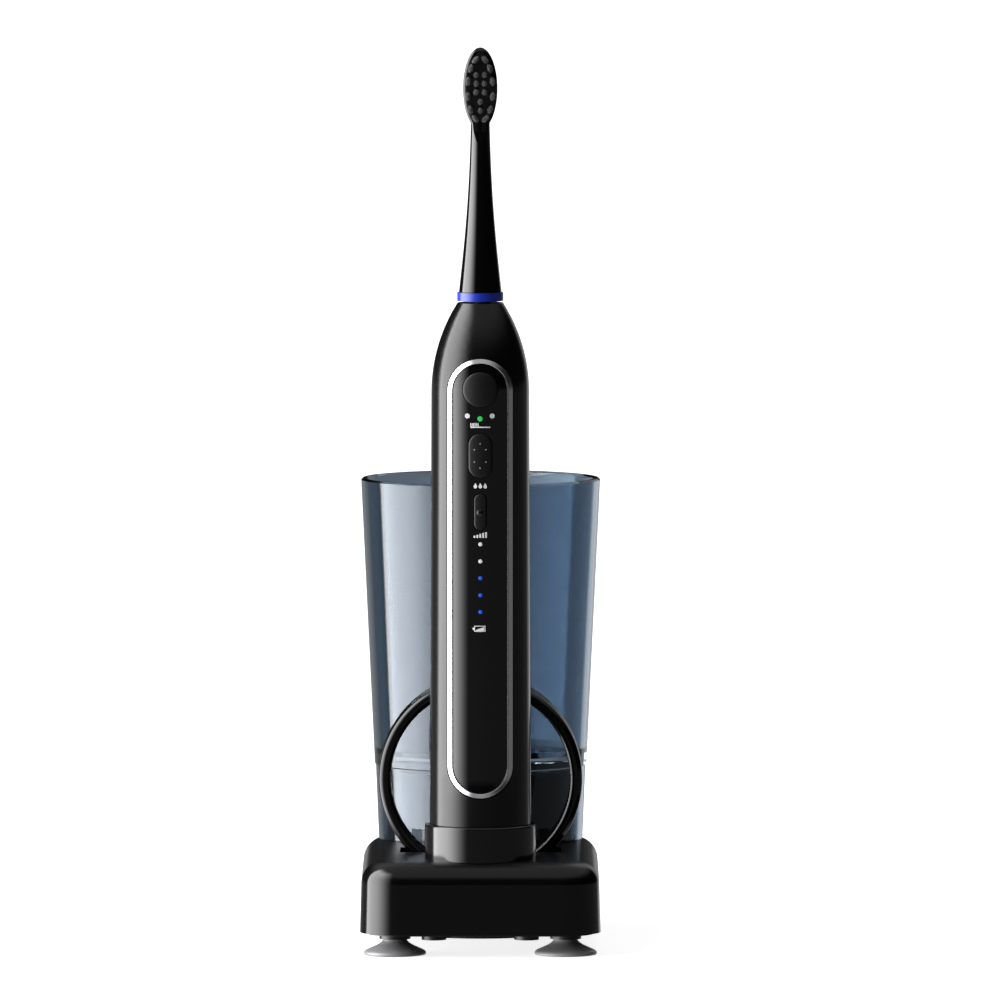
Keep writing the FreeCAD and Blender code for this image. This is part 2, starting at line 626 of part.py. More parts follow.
def stadium(half, low, high, deep="9", offset="12"):
    """An upright bar with round ends, or a round one, through the front wall of the handle."""
    if size(f"{high} - ({low}) - 2 * {half}") < 1e-6:
        return cylinder(half, deep, "0", f"-1 * ({offset} + {deep})", f"{low} + {half}", ALONG_Y)
    corners = [
        (f"-1 * {half}", f"{low} + {half}"), (f"-1 * {half}", f"{high} - {half}", f"1 * {half}"),
        ("0", high, f"1 * {half}"), (half, f"{high} - {half}"), (half, f"{low} + {half}", f"1 * {half}"),
        ("0", low, f"1 * {half}"),
    ]
    return padded(None, "XZ_Plane", corners, deep, offset)


BUTTONS = [
    ("power_button", "power_radius", "power_height - power_radius", "power_height + power_radius"),
    ("mode_button", "mode_half", "mode_low", "mode_high"),
    ("speed_button", "speed_half", "speed_low", "speed_high"),
]

LIGHTS = [
    ("indicator_lights_white", [("-4.5", "185.3"), ("0", "141"), ("0", "135.1")]),
    ("indicator_light_green", [("-0.1", "184.3")]),
    ("indicator_light_grey", [("4.1", "185.3")]),
    ("indicator_lights_blue", [("0", "129.3"), ("0", "123.4"), ("0", "117.6")]),
]


def control_face():
    """Bezel ring, glossy panel, buttons and indicator lights, all in the handle's curved front."""
    bezel_blank = cut(stadium("bezel_half", "bezel_low", "bezel_high"),
                      stadium("(bezel_half - bezel_band)", "bezel_low + bezel_band", "bezel_high - bezel_band"))
    node(common(handle_skin("-0.12", "2.2"), bezel_blank), "bezel_ring")
    inset = "(bezel_band + panel_gap)"
    face = common(handle_skin("0.25", "1.9"),
                  stadium(f"(bezel_half - {inset})", f"bezel_low + {inset}", f"bezel_high - {inset}"))
    openings = [stadium(f"({half} + button_gap)", f"{low} - button_gap", f"{high} + button_gap")
                for name, half, low, high in BUTTONS]
    openings += [cylinder("light_radius + 0.03", "8", x, "-19", z, ALONG_Y)
                 for name, spots in LIGHTS for x, z in spots]
    node(cut(face, *openings), "control_panel")
    for name, half, low, high in BUTTONS:
        blank = stadium(half, low, high, "8", "-1 * button_back")
        block = turned(None, handle_corners("0.15", "handle_foot", [("0", "handle_foot")])
                       + [("0", "handle_top - 0.08")])
        node(common(block, blank), name)
    for name, spots in LIGHTS:
        pins = [cylinder("light_radius", "3", x, "-16.75 + 0.03 * abs(" + x + ")", z, ALONG_Y)
                for x, z in spots]
        node(group(*pins) if len(pins) > 1 else pins[0], name)
    node(box("-5.5", "-13.4", "143", "11", "0.8", "56.5"), "button_membrane")


def handle_shell():
    """Tube with a shouldered top and a window for the panel."""
    wall = "handle_wall"
    top = "handle_top"
    outer = handle_corners("0", "handle_seam", [])
    outer[-1] = ("handle_top_radius", f"{top} - 0.35", "-0.5")
    inner = handle_corners(wall, "handle_seam", [])
    lip = ("4.6", f"{top} - 2.2")
    inner_back = [(inner[3][0], f"{top} - 2.2"), (inner[2][0], inner[2][1]), inner[1], inner[0]]
    body = turned(None, outer + [("handle_top_radius - 0.35", top), ("4.6", top), lip] + inner_back)
    window = stadium("(bezel_half + bezel_gap)", "bezel_low - bezel_gap", "bezel_high + bezel_gap")
    return node(cut(body, window), "handle_shell")


def handle_end():
    """End cap with a seal, the socket that the hose is bonded in, and the charging receiver."""
    turned("handle_end_cap", [
        ("2.4", "handle_foot"), ("handle_foot_radius - 0.8", "handle_foot", "-0.8"),
        ("handle_foot_radius", "handle_foot + 0.8"), ("handle_foot_radius", "handle_seam - 0.1"),
        ("handle_foot_radius - handle_wall - 0.2", "handle_seam - 0.1"),
        ("handle_foot_radius - handle_wall - 0.2", "handle_seam + 3"),
        ("handle_foot_radius - handle_wall - 1.8", "handle_seam + 3"),
        ("handle_foot_radius - handle_wall - 1.8", "handle_foot + 1.8"), ("2.4", "handle_foot + 1.8"),
    ])
    ring("hose_socket", "0.9", "2.35", "handle_foot", "handle_seam + 2")
    ring("receiver_coil", "6.5", "12.5", "handle_foot + 1.9", "handle_foot + 4.2")


def handle_works():
    """What the handle holds: tray, battery, circuit board, drive and the water's way up."""
    tray = box("-9.5", "-9.2", "46", "19", "1.4", "152")
    foot = box("-9.5", "-9.2", "44.5", "19", "18", "1.5")
    shelf = box("-9.5", "-9.2", "101", "19", "18", "1.4")
    shelf_high = box("-7", "-9.2", "190", "14", "16", "1.4")
    passage = cylinder("2.9", "170", "0", "11.2", "40")
    shaft_way = cylinder("2.6", "12", "0", "0", "185")
    node(cut(fuse(tray, foot, shelf, shelf_high), passage, shaft_way), "inner_tray")
    node(cylinder("7.1", "50", "0", "-0.4", "48"), "battery_cell")
    node(box("-8.5", "-11.6", "108", "17", "1.6", "88"), "handle_circuit_board")
    ring("drive_coil", "6.6", "7.7", "146", "178")
    turned("shaft_seal", [
        ("2.1", "handle_top - 4.5"), ("4.5", "handle_top - 4.5"), ("4.5", "handle_top - 0.1"),
        ("3.6", "handle_top + 0.3"), ("2.1", "handle_top + 0.3"),
    ])
    tube("inner_water_tube", [
        (0, 0, 39.05), (0, 0.2, 41.4), (0, 6, 42), (0, 11, 44.5), (0, 11.3, 62), (0, 11.1, 120),
        (0, 11.2, 195.95),
    ], 1.5)
    block = cylinder("5.4", "6", "0", "0", "196")
    nose = box("-2.4", "0", "196", "4.8", "12.9", "5")
    node(cut(fuse(block, nose), cylinder("2.1", "8", "0", "0", "195")), "water_coupling")


def drive():
    """Hollow steel shaft with the magnet that swings inside the drive coil."""
    node(cut(cylinder("shaft_radius", "shaft_top - 140", "0", "0", "140"),
             cylinder("0.7", "shaft_top - 197", "0", "0", "198")), "drive_shaft")
    ring("drive_magnet", "2", "5.9", "150", "174")


# ---------------------------------------------------------------- brush head

def oval(reach, half, y):
    """An upright oval facing the front."""
    curve = doc.addObject("Part::Ellipse", "Oval")
    bind(curve, "MajorRadius", reach)
    bind(curve, "MinorRadius", half)
    upright = FreeCAD.Rotation(FreeCAD.Vector(0, 0, 1), FreeCAD.Vector(1, 0, 0), FreeCAD.Vector(0, 1, 0), "XYZ")
    return place(curve, "0", y, "head_middle", upright)


def head_plate():
    """The oval head plate: flat faces with an edge eased towards both of them."""
    ease = 0.8
    plate = doc.addObject("Part::Loft", "HeadPlate")
    plate.Sections = [
        oval(f"head_reach - {ease}", f"head_half - {ease}", "head_front"),
        oval("head_reach", "head_half", f"head_front + {ease}"),
        oval("head_reach", "head_half", f"head_front + head_thick - {ease}"),
        oval(f"head_reach - {ease}", f"head_half - {ease}", "head_front + head_thick"),
    ]
    plate.Solid = True
    plate.Ruled = True
    return plate


def brush_body():
    """Neck and oval head as one moulding, with the shaft's socket and the water channel."""
    neck = turned(None, [
        ("0", "ring_high + 0.05"), ("7.42", "ring_high + 0.05"), ("6.4", "236.5"), ("5.37", "246.9"),
        ("4.53", "257.2"), ("3.92", "267.6"), ("3.48", "277.9"), ("neck_top_radius", "head_low"),
        ("1.7", "head_low + 1.8"), ("0", "head_low + 6"),
    ])
    socket = cylinder("shaft_radius + 0.05", "shaft_top + 0.4 - ring_low", "0", "0", "ring_low")
    channel = cylinder("0.7", "head_middle + 8.2 - shaft_top", "0", "0", "shaft_top")
    outlet = cylinder("1.25", "4", "0", "head_front - 2", "305.9", ALONG_Y)
    way = cylinder("0.7", "3", "0", "head_front", "305.2", ALONG_Y)
    return node(cut(fuse(neck, head_plate()), socket, channel, outlet, way), "brush_body")


def bristles():
    """Twelve tufts round the edge of the head and eight inside."""
    outer = []
    for index in range(12):
        angle = math.radians(22 + 26.8 * (index % 6))
        side = 1 if index < 6 else -1
        outer.append(cylinder("tuft_radius", "tuft_length", str(round(side * 4.25 * math.sin(angle), 3)),
                              "head_front - tuft_length", f"head_middle + {11.0 * math.cos(angle):.3f}",
                              ALONG_Y))
    node(group(*outer), "outer_bristles")
    spots = [(side * 1.4, height) for height in (5, 2, -1) for side in (-1, 1)] + [(0, -4.2), (0, -7.3)]
    inner = [cylinder("tuft_radius", "tuft_length - 0.6", str(x), "head_front - tuft_length + 0.6",
                      f"head_middle + {z}", ALONG_Y) for x, z in spots]
    node(group(*inner), "inner_bristles")


def brush_small_parts():
    """Colour ring at the foot of the neck and the jet nozzle in the head."""
    ring("colour_ring", "4.9", "8.0", "ring_low", "ring_high")
    nozzle = cut(cylinder("1.2", "2.6", "0", "head_front - 0.7", "305.9", ALONG_Y),
                 cylinder("0.35", "4", "0", "head_front - 1", "305.9", ALONG_Y))
    node(nozzle, "jet_nozzle")


# ---------------------------------------------------------------- the whole object

base_shell()
bottom_cover()
cover_screws()
suction_cups()
dock_collar()
hose_fitting()
hose()
pump()
base_electrics()
water_tank()
tank_valve()
control_face()
handle_shell()
handle_end()
handle_works()
drive()
brush_body()
bristles()
brush_small_parts()
doc.recompute()

failed = [f"{item.Label} ({item.Name}) of {[owner.Label for owner in item.InList]}"
          for item in doc.Objects if "Invalid" in item.State or "Error" in item.State]
if failed:
    raise RuntimeError("failed: " + "; ".join(failed))

MIDDLE = size("base_front + tank_back + tank_rim_radius") / 2
FOOT = size("foot_level")
os.makedirs("parts", exist_ok=True)
for item in NODES:
    shape = item.Shape.copy()
    if shape.isNull() or not shape.isValid() or shape.Volume <= 0:
        raise RuntimeError(f"{item.Label} has no valid solid")
    shape.translate(FreeCAD.Vector(0, -MIDDLE, -FOOT))
    print(f"{item.Label}: {len(shape.Solids)} solids, {shape.Volume:.1f} cubic millimetres")
    shape.exportStep(f"parts/{item.Label}.step")
print(f"{len(NODES)} pieces, moved forward by {MIDDLE:.2f} mm and up by {-FOOT:.2f} mm")
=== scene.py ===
"""Toothbrush and water flosser standing on its pump base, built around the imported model.

The file follows the station as it is put together: hose, base, feet, dock, tank, handle, brush.
Sizes are in metres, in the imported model's frame: +Z up along the handle, -Y towards the user.
"""
import json
import math

import bmesh
import bpy
import numpy as np
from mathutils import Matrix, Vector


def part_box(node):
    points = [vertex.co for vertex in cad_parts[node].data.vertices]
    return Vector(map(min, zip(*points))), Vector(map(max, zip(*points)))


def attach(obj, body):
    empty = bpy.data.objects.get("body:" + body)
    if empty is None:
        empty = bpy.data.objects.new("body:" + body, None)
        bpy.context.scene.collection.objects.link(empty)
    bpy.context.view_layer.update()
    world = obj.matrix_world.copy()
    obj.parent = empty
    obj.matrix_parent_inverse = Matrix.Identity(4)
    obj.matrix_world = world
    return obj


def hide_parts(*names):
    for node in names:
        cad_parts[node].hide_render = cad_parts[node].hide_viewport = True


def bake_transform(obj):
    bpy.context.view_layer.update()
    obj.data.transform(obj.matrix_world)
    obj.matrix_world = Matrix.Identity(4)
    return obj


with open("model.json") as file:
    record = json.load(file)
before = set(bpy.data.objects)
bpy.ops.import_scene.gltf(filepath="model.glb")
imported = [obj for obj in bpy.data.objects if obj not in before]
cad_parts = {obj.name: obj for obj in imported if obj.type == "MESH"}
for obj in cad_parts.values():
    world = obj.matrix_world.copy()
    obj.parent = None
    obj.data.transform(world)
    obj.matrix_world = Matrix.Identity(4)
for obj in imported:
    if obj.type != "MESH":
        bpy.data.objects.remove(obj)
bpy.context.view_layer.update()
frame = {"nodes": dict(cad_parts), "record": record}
scene = bpy.context.scene
nodes = frame["nodes"]


# ---------------------------------------------------------------- camera
# A long lens, nearly five metres away and a little above the station, so that its sides stay parallel.
# Every height that follows is measured from one datum, which the handle's seam gives.
handle_low, handle_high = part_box("handle_shell")
HANDLE_X = (handle_low.x + handle_high.x) / 2
HANDLE_Y = (handle_low.y + handle_high.y) / 2
SEAM_HEIGHT = 0.037
DATUM = handle_low.z - SEAM_HEIGHT
CAMERA_DISTANCE = 4.873
CAMERA_HEIGHT = 0.478
CAMERA_SIDE = 0.0068
CAMERA_TILT = math.radians(3.79)
CAMERA_LENS = 508.5

camera_data = bpy.data.cameras.new("long_lens")
camera_data.lens = CAMERA_LENS
camera_data.sensor_width = 36
camera_data.clip_end = 50
camera = bpy.data.objects.new("long_lens", camera_data)
camera.location = (HANDLE_X + CAMERA_SIDE, HANDLE_Y - CAMERA_DISTANCE, DATUM + CAMERA_HEIGHT)
camera.rotation_euler = (math.pi / 2 - CAMERA_TILT, 0, 0)
scene.collection.objects.link(camera)
scene.camera = camera


# ---------------------------------------------------------------- hose
# Thin flexible hose between pump and handle: one length, pushed on an elbow in the trough, wound four
# times on edge, then up through the dock's floor. Black vinyl, extruded, with a slight sheen.
coil_low, coil_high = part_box("hose_coil")
tail_low, tail_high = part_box("hose_tail")
HOSE_DIAMETER = 0.0043
COIL_TURNS = 4
POINTS_PER_TURN = 24
COIL_RADIUS = (coil_high.x - coil_low.x - HOSE_DIAMETER) / 2
COIL_HEIGHT = (coil_high.z + coil_low.z) / 2
COIL_FRONT = coil_low.y + HOSE_DIAMETER / 2
COIL_BACK = coil_high.y - HOSE_DIAMETER / 2
COIL_PITCH = (COIL_BACK - COIL_FRONT) / (COIL_TURNS - 1)
HOSE_LEVEL = COIL_HEIGHT - COIL_RADIUS
# The lead's route from the coil's last turn to the dock, sideways, forwards and up from the handle's axis.
LEAD_ROUTE = [
    (0.0130, 0.0242, HOSE_LEVEL),
    (0.0215, 0.0140, HOSE_LEVEL),
    (0.0165, 0.0020, HOSE_LEVEL),
    (0.0050, 0.0000, HOSE_LEVEL),
    (0.0000, 0.0000, DATUM + 0.0276),
    (0.0000, 0.0000, DATUM + 0.0306),
]


def smooth_step(value):
    """Zero below 0, one above 1, and 3v^2 - 2v^3 between them."""
    value = np.clip(value, 0, 1)
    return value * value * (3 - 2 * value)


def coil_points():
    """A circle in the XZ plane, walked from its lowest point. Each turn steps a pitch forward as it falls."""
    share = np.arange(COIL_TURNS * POINTS_PER_TURN + 1) / POINTS_PER_TURN
    turn = np.floor(share)
    step = smooth_step((share - turn - 0.50) / 0.34)
    step[-1] = 0
    turn[-1] = COIL_TURNS - 1
    forward = np.minimum(turn + step, COIL_TURNS - 1)
    angle = 2 * math.pi * share - math.pi / 2
    reach = COIL_RADIUS / math.cos(math.pi / POINTS_PER_TURN)
    return np.stack([
        HANDLE_X + reach * np.cos(angle),
        COIL_BACK - COIL_PITCH * forward,
        COIL_HEIGHT + reach * np.sin(angle),
    ], axis=1)


def nurbs_curve(name, points, thickness):
    """A round bar of one thickness along a smooth spline through the given control points."""
    curve = bpy.data.curves.new(name, "CURVE")
    curve.dimensions = "3D"
    curve.bevel_depth = thickness / 2
    curve.bevel_resolution = 6
    curve.resolution_u = 8
    curve.use_fill_caps = True
    spline = curve.splines.new("NURBS")
    spline.points.add(len(points) - 1)
    weighted = np.column_stack([points, np.ones(len(points))])
    spline.points.foreach_set("co", weighted.ravel())
    spline.order_u = 3
    spline.use_endpoint_u = True
    piece = bpy.data.objects.new(name, curve)
    scene.collection.objects.link(piece)
    return piece


hose_start = (tail_low.x, (tail_low.y + tail_high.y) / 2, HOSE_LEVEL)
tail_bend = (tail_high.x, hose_start[1], HOSE_LEVEL)
lead = np.array(LEAD_ROUTE) + (HANDLE_X, HANDLE_Y, 0)
hose_points = np.vstack([hose_start, tail_bend, coil_points(), lead])
hose = nurbs_curve("hose", hose_points, HOSE_DIAMETER)


def shader_group(name, inputs, outputs):
    """An empty node group with the given sockets. Returns the group, its input node and its output node."""
    group = bpy.data.node_groups.new(name, "ShaderNodeTree")
    for socket, kind, value in inputs:
        made = group.interface.new_socket(name=socket, in_out="INPUT", socket_type=kind)
        if value is not None:
            made.default_value = value
    for socket, kind in outputs:
        group.interface.new_socket(name=socket, in_out="OUTPUT", socket_type=kind)
    return group, group.nodes.new("NodeGroupInput"), group.nodes.new("NodeGroupOutput")


def moulded_finish():
    """Colour that drifts, roughness with handling marks, and a fine grain, for every moulded surface."""
    group, given, result = shader_group("moulded_finish", [
        ("Vector", "NodeSocketVector", None),
        ("Color", "NodeSocketColor", (0.5, 0.5, 0.5, 1)),
        ("Drift", "NodeSocketFloat", 0.1),
        ("Roughness", "NodeSocketFloat", 0.3),
        ("Marks", "NodeSocketFloat", 0.04),
        ("Grain Scale", "NodeSocketFloat", 900.0),
        ("Grain Depth", "NodeSocketFloat", 0.00001),
    ], [("Color", "NodeSocketColor"), ("Roughness", "NodeSocketFloat"), ("Normal", "NodeSocketVector")])
    tree, link = group.nodes, group.links.new
    cloud = tree.new("ShaderNodeTexNoise")
    cloud.inputs["Scale"].default_value = 35
    cloud.inputs["Detail"].default_value = 4
    link(given.outputs["Vector"], cloud.inputs["Vector"])
    middle = tree.new("ShaderNodeMath")
    middle.operation = "SUBTRACT"
    middle.inputs[1].default_value = 0.5
    link(cloud.outputs["Fac"], middle.inputs[0])
    shade = tree.new("ShaderNodeMath")
    shade.operation = "MULTIPLY_ADD"
    shade.inputs[2].default_value = 1
    link(middle.outputs[0], shade.inputs[0])
    link(given.outputs["Drift"], shade.inputs[1])
    tint = tree.new("ShaderNodeVectorMath")
    tint.operation = "SCALE"
    link(given.outputs["Color"], tint.inputs[0])
    link(shade.outputs[0], tint.inputs["Scale"])
    link(tint.outputs[0], result.inputs["Color"])
    marks = tree.new("ShaderNodeTexNoise")
    marks.inputs["Scale"].default_value = 160
    marks.inputs["Detail"].default_value = 6
    marks.inputs["Distortion"].default_value = 0.6
    link(given.outputs["Vector"], marks.inputs["Vector"])
    rub = tree.new("ShaderNodeMath")
    rub.operation = "SUBTRACT"
    rub.inputs[1].default_value = 0.5
    link(marks.outputs["Fac"], rub.inputs[0])
    rough = tree.new("ShaderNodeMath")
    rough.operation = "MULTIPLY_ADD"
    link(rub.outputs[0], rough.inputs[0])
    link(given.outputs["Marks"], rough.inputs[1])
    link(given.outputs["Roughness"], rough.inputs[2])
    link(rough.outputs[0], result.inputs["Roughness"])
    grain = tree.new("ShaderNodeTexNoise")
    grain.inputs["Detail"].default_value = 2
    link(given.outputs["Vector"], grain.inputs["Vector"])
    link(given.outputs["Grain Scale"], grain.inputs["Scale"])
    bump = tree.new("ShaderNodeBump")
    bump.inputs["Strength"].default_value = 1
    link(given.outputs["Grain Depth"], bump.inputs["Distance"])
    link(grain.outputs["Fac"], bump.inputs["Height"])
    link(bump.outputs["Normal"], result.inputs["Normal"])
    return group


MOULDED = moulded_finish()


def finish(name, colour, roughness, drift=0.12, marks=0.03, grain=(4000, 0.0000004), metallic=0, **sockets):
    """A Principled material over the moulded finish. Further sockets are named as the shader names them."""
    material = bpy.data.materials.new(name)
    material.use_nodes = True
    tree = material.node_tree
    shader = tree.nodes["Principled BSDF"]
    place = tree.nodes.new("ShaderNodeTexCoord")
    mould = tree.nodes.new("ShaderNodeGroup")
    mould.node_tree = MOULDED
    tree.links.new(place.outputs["Object"], mould.inputs["Vector"])
    mould.inputs["Color"].default_value = (*colour, 1)
    mould.inputs["Drift"].default_value = drift
    mould.inputs["Roughness"].default_value = roughness
    mould.inputs["Marks"].default_value = marks
    mould.inputs["Grain Scale"].default_value, mould.inputs["Grain Depth"].default_value = grain
    tree.links.new(mould.outputs["Color"], shader.inputs["Base Color"])
    tree.links.new(mould.outputs["Roughness"], shader.inputs["Roughness"])
    tree.links.new(mould.outputs["Normal"], shader.inputs["Normal"])
    shader.inputs["Metallic"].default_value = metallic
    for socket, value in sockets.items():
        shader.inputs[socket.replace("_", " ")].default_value = value
    return material


coated_nodes = set()


def coat_node(material, *names):
    """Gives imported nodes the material, in all their slots, and notes that they have one."""
    for name in names:
        coated_nodes.add(name)
        data = nodes[name].data
        data.materials.clear()
        data.materials.append(material)


hose_vinyl = finish("hose_vinyl", (0.002, 0.002, 0.0024), 0.07, grain=(2500, 0.0000006),
                    Specular_IOR_Level=0.35)
hose.data.materials.append(hose_vinyl)
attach(hose, "base")
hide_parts("hose_coil", "hose_lead", "hose_tail")


# ---------------------------------------------------------------- hose riser
# The same hose where it comes up through the dock's floor into the handle: a short, straight, upright
# length.
RISER_FOOT = DATUM + 0.0276
RISER_TOP = DATUM + 0.0380


def sheet_mesh(name, grid, capped=(True, True)):
    """A mesh over a grid of points (rows, columns, 3). Columns close on themselves, end rows are capped."""
    rows, columns = grid.shape[:2]
    index = np.arange(rows * columns).reshape(rows, columns)
    following = np.roll(index, -1, axis=1)
    quads = np.stack([index[:-1], following[:-1], following[1:], index[1:]], axis=-1).reshape(-1, 4)
    faces = quads.tolist()
    points = grid.reshape(-1, 3)
    for wanted, row, order in ((capped[0], 0, -1), (capped[1], rows - 1, 1)):
        if wanted:
            middle = len(points)
            points = np.vstack([points, grid[row].mean(axis=0)])
            ring = (row * columns + np.arange(columns))[::order]
            fan = np.stack([ring, np.roll(ring, -1), np.full(columns, middle)], axis=-1)
            faces += fan.tolist()
    mesh = bpy.data.meshes.new(name)
    mesh.from_pydata(points.tolist(), [], faces)
    mesh.shade_smooth()
    piece = bpy.data.objects.new(name, mesh)
    scene.collection.objects.link(piece)
    return piece


def turned_grid(profile, columns, centre=(0, 0)):
    """Rows of a profile (radius, height) turned about an upright axis, counter-clockwise from above."""
    profile = np.asarray(profile, float)
    angle = 2 * math.pi * np.arange(columns) / columns
    radius, height = profile[:, 0, None], profile[:, 1, None]
    return np.stack([
        centre[0] + radius * np.cos(angle),
        centre[1] + radius * np.sin(angle),
        height + 0 * angle,
    ], axis=-1)


riser_heights = np.linspace(RISER_FOOT, RISER_TOP, 16)
riser_profile = np.column_stack([np.full(16, HOSE_DIAMETER / 2 - 0.00004), riser_heights])
riser = sheet_mesh("hose_riser", turned_grid(riser_profile, 32, (HANDLE_X, HANDLE_Y)))
riser.data.materials.append(hose_vinyl)
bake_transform(riser)


# ---------------------------------------------------------------- base
# The pump's casing: one moulding of black ABS with polished sides. Its flat top is finely spark-eroded,
# so it stays dull where it is seen at a slant. The bottom cover and its collars are plain matte mouldings.
def polished_sides(name, colour, smooth, dull):
    """Gloss on faces that stand up, sliding to dull on faces that look up."""
    material = finish(name, colour, smooth)
    tree = material.node_tree
    shader = tree.nodes["Principled BSDF"]
    facing = tree.nodes.new("ShaderNodeNewGeometry")
    parts = tree.nodes.new("ShaderNodeSeparateXYZ")
    slide = tree.nodes.new("ShaderNodeMapRange")
    slide.interpolation_type = "SMOOTHSTEP"
    slide.inputs["From Min"].default_value = 0.55
    slide.inputs["From Max"].default_value = 0.98
    slide.inputs["To Min"].default_value = 0
    slide.inputs["To Max"].default_value = dull - smooth
    add = tree.nodes.new("ShaderNodeMath")
    mould = next(item for item in tree.nodes if item.type == "GROUP")
    tree.links.new(facing.outputs["Normal"], parts.inputs[0])
    tree.links.new(parts.outputs["Z"], slide.inputs["Value"])
    tree.links.new(slide.outputs["Result"], add.inputs[0])
    tree.links.new(mould.outputs["Roughness"], add.inputs[1])
    tree.links.new(add.outputs[0], shader.inputs["Roughness"])
    return material


casing_black = polished_sides("casing_black", (0.0015, 0.0015, 0.0018), 0.12, 0.32)
casing_black.node_tree.nodes["Principled BSDF"].inputs["Specular IOR Level"].default_value = 0.36
coat_node(casing_black, "base_shell")
coat_node(finish("cover_black", (0.006, 0.006, 0.0065), 0.4, grain=(2500, 0.000004)), "bottom_cover")
coat_node(finish("zinc_screw", (0.5, 0.5, 0.52), 0.3, metallic=1, grain=(3000, 0.000002)), "cover_screws")


# ---------------------------------------------------------------- suction cups
# Four soft cups of grey thermoplastic rubber, each moulded with a waist and a stud that snaps into the
# cover. The rubber passes a little light, and the underside is a shallow hollow.
CUP_NAMES = [f"suction_cup_{end}_{side}" for end in ("front", "rear") for side in ("left", "right")]
CUP_HEIGHT = 0.0053
CUP_COLUMNS = 96
CUP_ROWS = 26


def cup_profile(radius, height):
    """Hollow: height is a quarter cosine of radius. Outside: radius narrows as 1 - sin(height)^1.15."""
    hollow_share = np.linspace(0.02, 1, 12)
    hollow = np.column_stack([hollow_share * (radius - 0.0009), 0.0026 * np.cos(hollow_share * math.pi / 2)])
    lip = np.array([
        (radius - 0.0006, 0.0),
        (radius - 0.00015, 0.00012),
        (radius, 0.0005),
        (radius - 0.0001, 0.0010),
        (radius - 0.0005, 0.0014),
    ])
    waist = 0.0042
    climb = np.linspace(0.06, 1, CUP_ROWS)
    outside = np.column_stack([
        waist + (radius - 0.0005 - waist) * (1 - np.sin(climb * math.pi / 2) ** 1.15),
        0.0014 + (height - 0.0014) * climb,
    ])
    stud = np.array([(0.0041, height + 0.0002), (0.0024, height + 0.0004), (0.0024, height + 0.0026)])
    return np.vstack([hollow, lip, outside, stud])


cup_rubber = finish("cup_rubber", (0.19, 0.19, 0.195), 0.36, drift=0.25, marks=0.1, grain=(1500, 0.000006),
                    Subsurface_Weight=0.15, Subsurface_Scale=0.002)
for cup_name in CUP_NAMES:
    cup_low, cup_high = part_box(cup_name)
    cup_axis = ((cup_low.x + cup_high.x) / 2, (cup_low.y + cup_high.y) / 2)
    cup_radius = (cup_high.x - cup_low.x) / 2
    cup_grid = turned_grid(cup_profile(cup_radius, CUP_HEIGHT), CUP_COLUMNS, cup_axis)
    cup = sheet_mesh(cup_name + "_look", cup_grid)
    cup.data.materials.append(cup_rubber)
    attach(cup, "base")
    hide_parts(cup_name)


# ---------------------------------------------------------------- dock
# Round cup that the handle stands in, moulded in the same black ABS as the casing and fixed on its top.
# Polished all over, like the casing's sides.
coat_node(finish("dock_black", (0.0015, 0.0015, 0.0018), 0.12), "dock_collar")


# ---------------------------------------------------------------- water tank
# Tumbler injected in clear plastic with a smoky blue dye. The floor, skirt and valve seat are one piece
# with it, and every wall colours the light that passes. Its index of refraction is set below the real
# plastic's, which keeps the reflections on its walls faint.
def smoked_plastic():
    """Clear plastic with dye: light is coloured at each wall, and the surface is nearly polished."""
    material = finish("smoked_plastic", (0.31, 0.405, 0.51), 0.015, drift=0.06, marks=0.01, grain=(300, 0),
                      Transmission_Weight=1, IOR=1.4)
    return material


coat_node(smoked_plastic(), "water_tank")


# ---------------------------------------------------------------- handle
# Tube of black ABS, moulded with a satin skin and narrowing at the shoulder. The window in its front takes
# the bezel, and an end cap of the same plastic closes its foot.
FOOT_HEIGHT = 0.0313
FOOT_RADIUS = 0.0176
MIDDLE_HEIGHT = 0.150
MIDDLE_RADIUS = 0.0171
SHOULDER_HEIGHT = 0.193
SHOULDER_RADIUS = 0.01695
SHOULDER_ARC = 0.05787


def handle_radius(height):
    """Straight taper from foot to middle to shoulder, then an arc that leans inwards."""
    radius = np.interp(height, [FOOT_HEIGHT, MIDDLE_HEIGHT, SHOULDER_HEIGHT],
                       [FOOT_RADIUS, MIDDLE_RADIUS, SHOULDER_RADIUS])
    over = np.clip(height - SHOULDER_HEIGHT, 0, SHOULDER_ARC)
    return radius - SHOULDER_ARC + np.sqrt(SHOULDER_ARC ** 2 - over ** 2)


def on_handle(across, height, proud):
    """Points on the handle's front, moved out from its skin by proud."""
    reach = handle_radius(height) + proud
    return np.stack([
        HANDLE_X + across,
        HANDLE_Y - np.sqrt(np.maximum(reach ** 2 - across ** 2, 0)),
        DATUM + height,
    ], axis=-1)


handle_satin = finish("handle_satin", (0.002, 0.002, 0.0024), 0.19, grain=(5000, 0.0000006),
                      Specular_IOR_Level=0.32)
coat_node(handle_satin, "handle_shell", "handle_end_cap")


def stadium_line(half, low, high, count):
    """An upright outline with round ends: a circle of that half width, its upper half raised."""
    turn = 2 * math.pi * np.arange(count) / count
    lift = np.where(np.sin(turn) >= 0, high - half, low + half)
    return half * np.cos(turn), lift + half * np.sin(turn)


def stadium_ring(name, half, low, high, profile, count, capped):
    """A profile of (inset, proud) pairs carried round an upright outline on the handle's front."""
    rows = []
    for inset, proud in profile:
        across, height = stadium_line(half - inset, low + inset, high - inset, count)
        rows.append(on_handle(across, height, proud))
    return sheet_mesh(name, np.array(rows), capped=capped)


